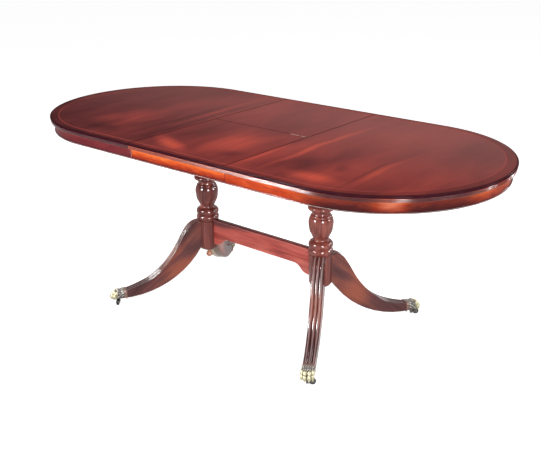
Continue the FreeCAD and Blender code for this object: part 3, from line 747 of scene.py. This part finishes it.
def lofted(name, rings):
    """Closed mesh through rings of points, with flat ends."""
    count = len(rings[0])
    points = [point for ring in rings for point in ring]
    faces = [tuple(range(count)), tuple(range(len(points) - count, len(points)))]
    for ring in range(len(rings) - 1):
        for side in range(count):
            here = ring * count + side
            beside = ring * count + (side + 1) % count
            faces.append((here, beside, beside + count, here + count))
    mesh = bpy.data.meshes.new(name)
    mesh.from_pydata(points, [], faces)
    return mesh


def set_values(mesh, name, values):
    """Give the vertices a value each."""
    mesh.attributes.new(name, "FLOAT", "POINT").data.foreach_set("value", values)


def set_grain(mesh, grain_at):
    """Give every vertex its place in the wood, with the way along the grain first."""
    places = [part for vertex in mesh.vertices for part in grain_at(vertex.co)]
    mesh.attributes.new("grain", "FLOAT_VECTOR", "POINT").data.foreach_set("vector", places)


def clamp(value):
    return min(1.0, max(0.0, value))


def add_piece(name, mesh, body, node, material, sharp_angle=SHARP_ANGLE):
    """Finish a mesh and set it on its body, over the solid that it stands for."""
    work = bmesh.new()
    work.from_mesh(mesh)
    bmesh.ops.remove_doubles(work, verts=work.verts, dist=WELD)
    bmesh.ops.recalc_face_normals(work, faces=work.faces)
    work.to_mesh(mesh)
    work.free()
    mesh.shade_smooth()
    mesh.set_sharp_from_angle(angle=sharp_angle)
    mesh.materials.clear()
    mesh.materials.append(material)
    piece = placed(name, mesh)
    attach(piece, body)
    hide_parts(node)


def lipping_outline():
    """Moulded edge: a rounded nosing over three reeds that step back."""
    low = UNDERSIDE
    wide = LIPPING_WIDTH
    nosing = NOSING_BOTTOM
    reed = REED_HEIGHT
    return trace((0.0, low), [
        ("line", (wide - 0.0042, low)),
        ("arc", (wide - 0.0020, low + reed / 2), (wide - 0.0040, low + reed)),
        ("arc", (wide - 0.0015, low + reed * 1.5), (wide - 0.0036, low + reed * 2)),
        ("arc", (wide - 0.0010, low + reed * 2.5), (wide - 0.0031, nosing)),
        ("arc", (wide, nosing + 0.0044), (wide - 0.0044, TABLE_HEIGHT)),
        ("line", (0.0, TABLE_HEIGHT)),
    ])


def apron_outline():
    """Plain board with a small bead along its lower edge."""
    bead_top = APRON_BOTTOM + BEAD_HEIGHT
    bead_middle = APRON_BOTTOM + BEAD_HEIGHT / 2
    face = APRON_THICKNESS - 0.0006
    return trace((0.0, APRON_BOTTOM), [
        ("line", (APRON_THICKNESS, APRON_BOTTOM)),
        ("arc", (APRON_THICKNESS + BEAD_PROJECTION, bead_middle), (APRON_THICKNESS, bead_top)),
        ("line", (face, bead_top + 0.0005), (face, UNDERSIDE), (0.0, UNDERSIDE)),
    ])


def end_path(reach, side):
    """Path round the end on the given side, straight, round and straight again."""
    path = [(END_FACE, -reach), (ARC_X, -reach)]
    for step in range(1, BEND_STEPS):
        angle = math.pi * (step / BEND_STEPS - 0.5)
        path.append((ARC_X + reach * math.cos(angle), reach * math.sin(angle)))
    path += [(ARC_X, reach), (END_FACE, reach)]
    return [(side * x, side * y, 0.0) for x, y in path]


def along_edge(place):
    """Grain place on an edge piece: the way along the edge, then outward and up."""
    past = max(abs(place.x) - ARC_X, 0.0)
    reach = math.hypot(past, place.y)
    turn = math.atan2(past, abs(place.y))
    return (math.copysign(min(abs(place.x), ARC_X) + turn * HALF_WIDTH, place.x), reach, place.z)


def add_edges():
    lipping = ("lipping", lipping_outline(), LIPPING_REACH, lipping_mahogany())
    apron = ("apron", apron_outline(), APRON_REACH, apron_mahogany())
    for kind, outline, reach, finish in (lipping, apron):
        pieces = []
        for side, name in ((-1, "left"), (1, "right")):
            node = name + ("_top_lipping" if kind == "lipping" else "_apron")
            pieces.append((node, "end_" + name, end_path(reach, side)))
        for side, name in ((-1, "front"), (1, "rear")):
            path = [(side * LEAF_FACE, side * reach, 0.0), (-side * LEAF_FACE, side * reach, 0.0)]
            pieces.append(("leaf_" + name + "_" + kind, "leaf_" + name, path))
        for node, body, path in pieces:
            mesh = swept(node, path, False, outline, finish)
            set_grain(mesh, along_edge)
            add_piece("moulded_" + node, mesh, body, node, finish)


def column_outline():
    """Plain shaft on a dome, two rings, a bulb below a bead between scored lines, a collar and a neck."""
    top = SHAFT_TOP
    cap = COLUMN_TOP
    ring = RING_RADIUS
    waist = WAIST_RADIUS
    bulb = BULB_RADIUS
    collar = COLLAR_RADIUS
    return trace((0.0, DOME_BOTTOM), [
        ("line", (0.016, DOME_BOTTOM)),
        ("arc", (SHAFT_RADIUS - 0.008, SHAFT_BOTTOM - 0.012), (SHAFT_RADIUS, SHAFT_BOTTOM)),
        ("line", (SHAFT_RADIUS, top), (ring - 0.0055, top + 0.0015)),
        ("arc", (ring, top + 0.0148), (ring - 0.0052, top + 0.0280)),
        ("line", (ring - 0.0052, top + 0.0292)),
        ("arc", (ring - 0.0004, top + 0.0425), (ring - 0.0085, top + 0.0555)),
        ("arc", (waist + 0.0014, top + 0.0578), (waist - 0.0013, top + 0.0630)),
        ("curve", (waist, top + 0.069), (waist + 0.0036, top + 0.077), (bulb - 0.0091, top + 0.085),
         (bulb - 0.0047, top + 0.094), (bulb - 0.0028, top + 0.103), (bulb - 0.0014, top + 0.114),
         (bulb, top + 0.127), (bulb - 0.0007, top + 0.137), (bulb - 0.0028, top + 0.145),
         (bulb - 0.0048, top + 0.1490)),
        ("line", (bulb - 0.0066, top + 0.1500)),
        ("arc", (bulb - 0.0063, top + 0.1540), (bulb - 0.0092, top + 0.1585)),
        ("line", (bulb - 0.0108, top + 0.1593)),
        ("curve", (bulb - 0.0127, top + 0.1630), (bulb - 0.0136, top + 0.1670)),
        ("arc", (collar - 0.0145, top + 0.1735), (collar - 0.006, top + 0.1775)),
        ("arc", (collar, top + 0.186), (collar - 0.006, top + 0.195)),
        ("arc", (collar - 0.014, top + 0.199), (collar - 0.017, top + 0.209)),
        ("curve", (collar - 0.0145, (top + cap) / 2 + 0.093), (CAP_RADIUS - 0.008, cap - 0.025)),
        ("line", (CAP_RADIUS, cap - 0.022)),
        ("arc", (CAP_RADIUS + 0.003, cap - 0.016), (CAP_RADIUS, cap - 0.010)),
        ("line", (CAP_RADIUS, cap), (TENON_RADIUS, cap), (TENON_RADIUS, BEARER_TOP), (0.0, BEARER_TOP)),
    ])


def drop_outline():
    """Turned drop with a ball, under the column's dome."""
    high = DOME_BOTTOM
    tip = DROP_TIP
    return trace((0.0, tip), [
        ("arc", (0.0098, tip + 0.0034), (0.0126, tip + 0.0115)),
        ("arc", (0.0108, tip + 0.0185), (0.0078, tip + 0.0232)),
        ("arc", (0.0092, tip + 0.0290), (0.0155, high - 0.004)),
        ("line", (0.0155, high), (0.0, high)),
    ])


def add_turnings(column_finish, drop_finish):
    shapes = (("column_", column_outline(), column_finish), ("drop_", drop_outline(), drop_finish))
    for side, name in ((-1, "left"), (1, "right")):
        for kind, outline, finish in shapes:
            mesh = turned(kind + name, outline, finish)
            mesh.transform(Matrix.Translation((side * PEDESTAL_X, 0.0, 0.0)))
            set_grain(mesh, lambda place: (place.z, place.x, place.y))
            add_piece("turned_" + kind + name, mesh, "base", kind + name, finish, GROOVE_ANGLE)


def add_stretcher(finish):
    """Shaped board between the columns: shallow in the middle, with ogee steps down to the ends."""
    shallow = STRETCHER_TOP - STRETCHER_DEPTH
    deep = STRETCHER_TOP - STRETCHER_END_DEPTH
    outer = STRETCHER_END - 0.014
    inner = outer - STRETCHER_STEP
    turn = (outer + inner) / 2
    bulge = (shallow - deep) * 0.2 / 1.5
    half = trace((0.0, STRETCHER_TOP), [
        ("line", (STRETCHER_END, STRETCHER_TOP), (STRETCHER_END, deep), (outer, deep)),
        ("arc", ((outer + turn) / 2, deep + bulge), (turn, (shallow + deep) / 2)),
        ("arc", ((inner + turn) / 2, shallow - bulge), (inner, shallow)),
        ("line", (0.0, shallow)),
    ])
    outline = half + [Vector((-point.x, point.y)) for point in reversed(half[1:-1])]
    arris = 0.0022
    depth = STRETCHER_THICKNESS / 2
    centre = (STRETCHER_TOP + shallow) / 2
    rings = []
    for y, inset in ((-depth, arris), (-depth + arris * 0.3, arris * 0.3), (-depth + arris, 0.0),
                     (depth - arris, 0.0), (depth - arris * 0.3, arris * 0.3), (depth, arris)):
        ring = []
        for point in outline:
            rise = 1 if point.y > centre else -1
            ring.append((point.x, y, point.y - rise * inset))
        rings.append(ring)
    mesh = lofted("stretcher", rings)
    set_grain(mesh, lambda place: place)
    add_piece("shaped_stretcher", mesh, "base", "stretcher", finish)


def corner_matrix(corner):
    """Carry a piece made along +X from a column's axis to the given leg."""
    side_x, side_y = CORNERS[corner]
    turn = side_y * (LEG_ANGLE if side_x > 0 else math.pi - LEG_ANGLE)
    return Matrix.Translation((side_x * PEDESTAL_X, 0.0, 0.0)) @ Matrix.Rotation(turn, 4, "Z")


def leg_rings():
    """Rings down a leg: three rounded reeds across the top, flat sides and a softened lower edge."""
    run = LEG_END - LEG_ROOT
    root_top = SHAFT_TOP + 0.003
    root_bottom = SHAFT_BOTTOM + 0.001
    foot_bottom = PAW_UNDERSIDE + 0.0015
    foot_top = foot_bottom + LEG_FOOT_DEPTH
    knots = [(LEG_ROOT + along * run, foot_top + up * (root_top - foot_top)) for along, up in LEG_CURVE]
    upper = trace((LEG_ROOT, root_top), [("curve", *knots)])
    along, up = LEG_HOLLOW
    middle = (LEG_ROOT + along * run, foot_bottom + up * (root_bottom - foot_bottom))
    lower_arc = trace((LEG_ROOT, root_bottom), [("arc", middle, (LEG_END, foot_bottom))])
    rings = []
    for index, top in enumerate(upper):
        share = index / (len(upper) - 1)
        after = upper[min(index + 1, len(upper) - 1)]
        before = upper[max(index - 1, 0)]
        way = (after - before).normalized()
        outward = Vector((-way.y, way.x))
        place = share * (len(lower_arc) - 1)
        step = min(int(place), len(lower_arc) - 2)
        bottom = lower_arc[step].lerp(lower_arc[step + 1], place - step)
        half = (LEG_ROOT_WIDTH + (LEG_FOOT_WIDTH - LEG_ROOT_WIDTH) * (top.x - LEG_ROOT) / run) / 2
        fade = clamp((top.x - LEG_ROOT - 0.004) / 0.006)
        rings.append(leg_ring(top, bottom, outward, half, fade))
    return rings


def reed_round(step):
    """Place across a reed, from -1 to 1, and the height of its round there."""
    across = math.sin(math.pi * (step / REED_STEPS - 0.5))
    return across, math.sqrt(max(0.0, 1 - across * across))


def leg_ring(top, bottom, outward, half, fade):
    """One ring of a leg, from its upper edge point, its lower edge point and the way out of its top."""
    reed = REED_SPACING / 2
    points = []
    for first, last in ((-half, -reed), (-reed, reed), (reed, half)):
        for step in range(REED_STEPS + 1):
            across, crest = reed_round(step)
            y = first + (last - first) * (across + 1) / 2
            at = top - outward * (REED_GROOVE * fade * (1 - crest))
            points.append((at.x, y, at.y))
    down = bottom - top
    soft = LEG_SOFT_EDGE / down.length
    rows = [(soft, 0.0), (0.35, 0.0), (0.7, 0.0), (1 - soft, 0.0), (1 - soft * 0.3, 0.001),
            (1.0, LEG_SOFT_EDGE)]
    for side in (1, -1):
        for share, inset in rows[::side]:
            at = top + down * share
            points.append((at.x, side * (half - inset), at.y))
    return points


def leg_values(index, ring):
    """Groove, crest and underside values of a leg's vertex, by its place in its ring."""
    place = index % ring
    on_top = 3 * (REED_STEPS + 1)
    if place < on_top:
        crest = reed_round(place % (REED_STEPS + 1))[1]
        return 1 - crest, crest, 0.0
    half = (ring - on_top) // 2
    below = place - on_top in range(half - 2, half + 2)
    return 0.0, 0.0, float(below)


def add_legs(finish):
    rings = leg_rings()
    ring = len(rings[0])
    level = Matrix.Rotation(LEG_SLOPE, 3, "Y")
    for corner in CORNERS:
        mesh = lofted("leg_" + corner, rings)
        set_grain(mesh, lambda place: level @ place)
        values = [leg_values(index, ring) for index in range(len(mesh.vertices))]
        for name, column in zip(("groove", "crest", "under"), zip(*values)):
            set_values(mesh, name, column)
        mesh.transform(corner_matrix(corner))
        add_piece("reeded_leg_" + corner, mesh, "base", "leg_" + corner, finish, LEG_SHARP_ANGLE)


def add_lump(work, place, radii, lean):
    """Add an egg-shaped lump, leaning forward about Y."""
    turn = Matrix.Rotation(lean, 4, "Y")
    size = Matrix.Diagonal((*radii, 1.0))
    matrix = Matrix.Translation(place) @ turn @ size
    bmesh.ops.create_uvsphere(work, u_segments=20, v_segments=14, radius=1.0, matrix=matrix)


def shouldered(value):
    """A sine or cosine pushed outwards, which gives a round ring square shoulders."""
    return math.copysign(abs(value) ** SHOULDER_POWER, value)


def paw_socket():
    """Square-shouldered sleeve over the leg's end: a smooth collar, then the foot's block."""
    swivel = SWIVEL_REACH
    low = PAW_UNDERSIDE
    heel = swivel - 0.031
    wide = PAW_HALF_WIDTH
    sole = low + 0.0005
    stations = [(heel - 0.0038, low - 0.0042, low + 0.0366, wide),
                (heel, low - 0.0042, low + 0.0362, wide),
                (heel + 0.0004, sole, low + 0.0361, wide),
                (PAW_COLLAR_END, sole, low + 0.0346, wide),
                (PAW_COLLAR_END + 0.0006, sole, low + 0.0328, wide - 0.0018),
                (swivel - 0.010, sole, low + 0.0300, wide - 0.0022),
                (swivel + 0.004, sole, low + 0.0305, wide - 0.0022),
                (swivel + 0.014, sole, low + 0.0270, wide - 0.0050)]
    rings = []
    for x, bottom, top, half in stations:
        ring = []
        for step in range(SOCKET_STEPS):
            angle = math.tau * step / SOCKET_STEPS
            up = (top - bottom) / 2 * shouldered(math.sin(angle))
            ring.append((x, half * shouldered(math.cos(angle)), (bottom + top) / 2 + up))
        rings.append(ring)
    return lofted("paw_socket", rings)


def paw_mesh():
    """Animal's paw: a socket with a collar, tufts over the instep and four toes with claws."""
    swivel = SWIVEL_REACH
    low = PAW_UNDERSIDE
    work = bmesh.new()
    work.from_mesh(paw_socket())
    for side in (-1, 1):
        for y, reach, girth in ((0.0077, swivel + 0.0245, 0.0078), (0.0192, swivel + 0.0165, 0.0064)):
            add_lump(work, (reach - 0.010, side * y, low + 0.0245), (0.0115, girth, 0.0090), 0.45)
            add_lump(work, (reach, side * y, low + 0.0120), (0.0085, girth - 0.0003, 0.0105), 0.1)
            add_lump(work, (reach + 0.0050, side * y, low + 0.0050), (0.0032, 0.0036, 0.0048), -0.2)
        flank = side * (PAW_HALF_WIDTH - 0.0022)
        for x, z in ((-0.019, 0.026), (-0.010, 0.021), (-0.018, 0.015), (-0.001, 0.026), (0.0, 0.013)):
            add_lump(work, (swivel + x, flank, low + z), (0.0072, 0.0026, 0.0032), 0.5)
    for x, z, spread in ((-0.0185, 0.0322, (-0.016, -0.008, 0.0, 0.008, 0.016)),
                         (-0.0095, 0.0308, (-0.012, -0.004, 0.004, 0.012)),
                         (-0.0010, 0.0308, (-0.016, -0.008, 0.0, 0.008, 0.016))):
        for y in spread:
            add_lump(work, (swivel + x, y, low + z), (0.0068, 0.0035, 0.0034), 0.15)
    mesh = bpy.data.meshes.new("paw")
    work.to_mesh(mesh)
    work.free()
    return fused(mesh)


def neighbour_means(mesh, values):
    """Mean of the values at the neighbours of each vertex."""
    totals = [value * 0.0 for value in values]
    counts = [0] * len(values)
    for edge in mesh.edges:
        first, second = edge.vertices
        for here, there in ((first, second), (second, first)):
            totals[here] = totals[here] + values[there]
            counts[here] += 1
    return [total / count for total, count in zip(totals, counts)]


def crest_values(mesh):
    """How far each vertex stands out from its neighbours: above 0 on crests and below 0 in hollows."""
    means = neighbour_means(mesh, [vertex.co.copy() for vertex in mesh.vertices])
    values = []
    for vertex, mean in zip(mesh.vertices, means):
        values.append((vertex.co - mean).dot(vertex.normal) / WEAR_DEPTH)
    for _ in range(2):
        values = [(value + mean) / 2 for value, mean in zip(values, neighbour_means(mesh, values))]
    return values


def fused(mesh):
    """One skin over overlapping lumps."""
    holder = placed("holder", mesh)
    skin = holder.modifiers.new("skin", "REMESH")
    skin.mode = "VOXEL"
    skin.voxel_size = PAW_VOXEL
    ease = holder.modifiers.new("ease", "SMOOTH")
    ease.factor = 0.5
    ease.iterations = 3
    result = plain_mesh(holder)
    bpy.data.objects.remove(holder)
    return result


def dress_paw(mesh):
    """Give a paw's vertices their wear, toe and collar values for the brass."""
    collar_end = PAW_COLLAR_END + 0.0006
    places = [vertex.co for vertex in mesh.vertices]
    toes = [clamp((place.x - TOE_START + abs(place.y) * 0.3) / TOE_FADE) for place in places]
    collars = [clamp((collar_end - place.x) / PAW_COLLAR_FADE) for place in places]
    set_values(mesh, "wear", crest_values(mesh))
    set_values(mesh, "toe", toes)
    set_values(mesh, "collar", collars)


def wheel_outline():
    """Section of a wheel: rounded tread, dished sides and a raised hub."""
    half = WHEEL_HALF_WIDTH
    rim = WHEEL_RADIUS
    dish = half - 0.0014
    return trace((AXLE_RADIUS, -half), [
        ("line", (0.0045, -half), (0.0055, -dish), (rim - 0.0032, -dish), (rim - 0.0026, -half)),
        ("line", (rim - 0.0022, -half)),
        ("arc", (rim - 0.00005, 0.0), (rim - 0.0022, half)),
        ("line", (rim - 0.0026, half), (rim - 0.0032, dish), (0.0055, dish), (0.0045, half)),
        ("line", (AXLE_RADIUS, half)),
    ])


def add_feet(brass, rubber):
    paw = paw_mesh()
    dress_paw(paw)
    for corner, (side_x, side_y) in CORNERS.items():
        mesh = paw.copy()
        mesh.transform(corner_matrix(corner))
        add_piece("cast_paw_" + corner, mesh, "base", "paw_" + corner, brass, math.pi)
        wheel = turned("wheel", wheel_outline(), rubber)
        reaches = [math.hypot(vertex.co.x, vertex.co.y) for vertex in wheel.vertices]
        set_values(wheel, "hub", [float(reach < HUB_RADIUS) for reach in reaches])
        foot = Matrix.Translation((side_x * (PEDESTAL_X + SWIVEL_REACH * math.cos(LEG_ANGLE)),
                                   side_y * SWIVEL_REACH * math.sin(LEG_ANGLE), 0.0))
        turn = Matrix.Rotation(math.radians(CASTER_TURNS[corner]), 4, "Z")
        axle = Matrix.Translation((WHEEL_TRAIL, 0.0, WHEEL_RADIUS)) @ Matrix.Rotation(math.pi / 2, 4, "X")
        wheel.transform(foot @ turn @ axle)
        add_piece("rolling_wheel_" + corner, wheel, "wheel_" + corner, "caster_wheel_" + corner, rubber)


def dress_solids(finishes, own_finishes):
    """Give every solid its own finish, or else that of its slot."""
    for name, slot in SLOTS.items():
        solid = frame["nodes"][name].data
        solid.materials.clear()
        solid.materials.append(own_finishes.get(name, finishes[slot]))


def seen_rays(start):
    """1 for rays from the camera and for those that mirror or pass the background on."""
    seen = start.node("ShaderNodeLightPath", {}, {}, "Is Camera Ray")
    for kind in ("Is Glossy Ray", "Is Transmission Ray"):
        seen = seen.maths("MAXIMUM", start.node("ShaderNodeLightPath", {}, {}, kind))
    return seen


def add_floor():
    """White floor that keeps a soft shadow."""
    work = bmesh.new()
    bmesh.ops.create_grid(work, x_segments=1, y_segments=1, size=FLOOR_HALF)
    mesh = bpy.data.meshes.new("floor")
    work.to_mesh(mesh)
    work.free()
    material, start = new_material("studio_floor")
    matt = start.node("ShaderNodeBsdfDiffuse", {}, {"Color": FLOOR_COLOUR})
    glow = start.node("ShaderNodeEmission", {}, {"Color": WHITE, "Strength": FLOOR_GLOW})
    both = start.node("ShaderNodeAddShader", {}, {0: matt, 1: glow})
    mixed = start.node("ShaderNodeMixShader", {}, {0: seen_rays(start), 1: matt, 2: both})
    start.node("ShaderNodeOutputMaterial", {}, {"Surface": mixed})
    mesh.materials.append(material)
    floor = placed("floor", mesh)


def direction(bearing, elevation):
    """Unit vector at a bearing about the upright axis and an elevation, in radians."""
    flat = math.cos(elevation)
    return Vector((math.cos(bearing) * flat, math.sin(bearing) * flat, math.sin(elevation)))


def add_lamp(name, distance, bearing, elevation, size, power):
    """Soft lamp that faces the table."""
    data = bpy.data.lights.new(name, "AREA")
    data.shape = "RECTANGLE"
    data.size, data.size_y = size
    data.energy = power
    lamp = placed(name, data)
    away = direction(math.radians(bearing), math.radians(elevation))
    lamp.location = LIT_POINT + away * distance
    lamp.rotation_mode = "QUATERNION"
    lamp.rotation_quaternion = (-away).to_track_quat("-Z", "Y")
    return lamp


def add_light():
    world = bpy.data.worlds.new("studio")
    world.use_nodes = True
    world.node_tree.nodes.clear()
    start = Shade(world.node_tree)
    fill = start.node("ShaderNodeBackground", {}, {"Color": WHITE, "Strength": FILL_LIGHT})
    backdrop = start.node("ShaderNodeBackground", {}, {"Color": WHITE, "Strength": 1.0})
    mixed = start.node("ShaderNodeMixShader", {}, {0: seen_rays(start), 1: fill, 2: backdrop})
    start.node("ShaderNodeOutputWorld", {}, {"Surface": mixed})
    bpy.context.scene.world = world
    for name, lamp in LAMPS.items():
        add_lamp(name, LAMP_DISTANCE, *lamp)
    for name, sheen in SHEENS.items():
        add_lamp(name, SHEEN_DISTANCE, *sheen).visible_diffuse = False


def add_camera():
    way = direction(CAMERA_YAW, CAMERA_PITCH)
    level = way.cross(Vector((0.0, 0.0, 1.0))).normalized()
    upright = level.cross(way)
    right = math.cos(CAMERA_ROLL) * level + math.sin(CAMERA_ROLL) * upright
    up = math.cos(CAMERA_ROLL) * upright - math.sin(CAMERA_ROLL) * level
    data = bpy.data.cameras.new("camera")
    data.sensor_fit = "HORIZONTAL"
    data.sensor_width = SENSOR_WIDTH
    data.lens = CAMERA_LENS
    camera = placed("camera", data)
    turn = Matrix((right, up, -way)).transposed().to_4x4()
    camera.matrix_world = Matrix.Translation(CAMERA_PLACE) @ turn
    bpy.context.scene.camera = camera


def main():
    turned_finish = turned_mahogany()
    brass = antique_brass()
    rubber = black_wheel()
    dress_solids({
        "mahogany_veneer": top_veneer(),
        "mahogany_solid": turned_finish,
        "frame_beech": frame_beech(),
        "antique_brass": brass,
        "steel_screws": steel_screws(),
        "black_wheel": rubber,
    }, {"hinge_posts": dull_bronze()})
    add_edges()
    add_turnings(turned_finish, painted_lit_drop_mahogany())
    add_stretcher(stretcher_mahogany())
    add_legs(leg_mahogany())
    add_feet(brass, rubber)
    add_floor()
    add_light()
    add_camera()
    bpy.context.scene.view_settings.view_transform = "Standard"


main()
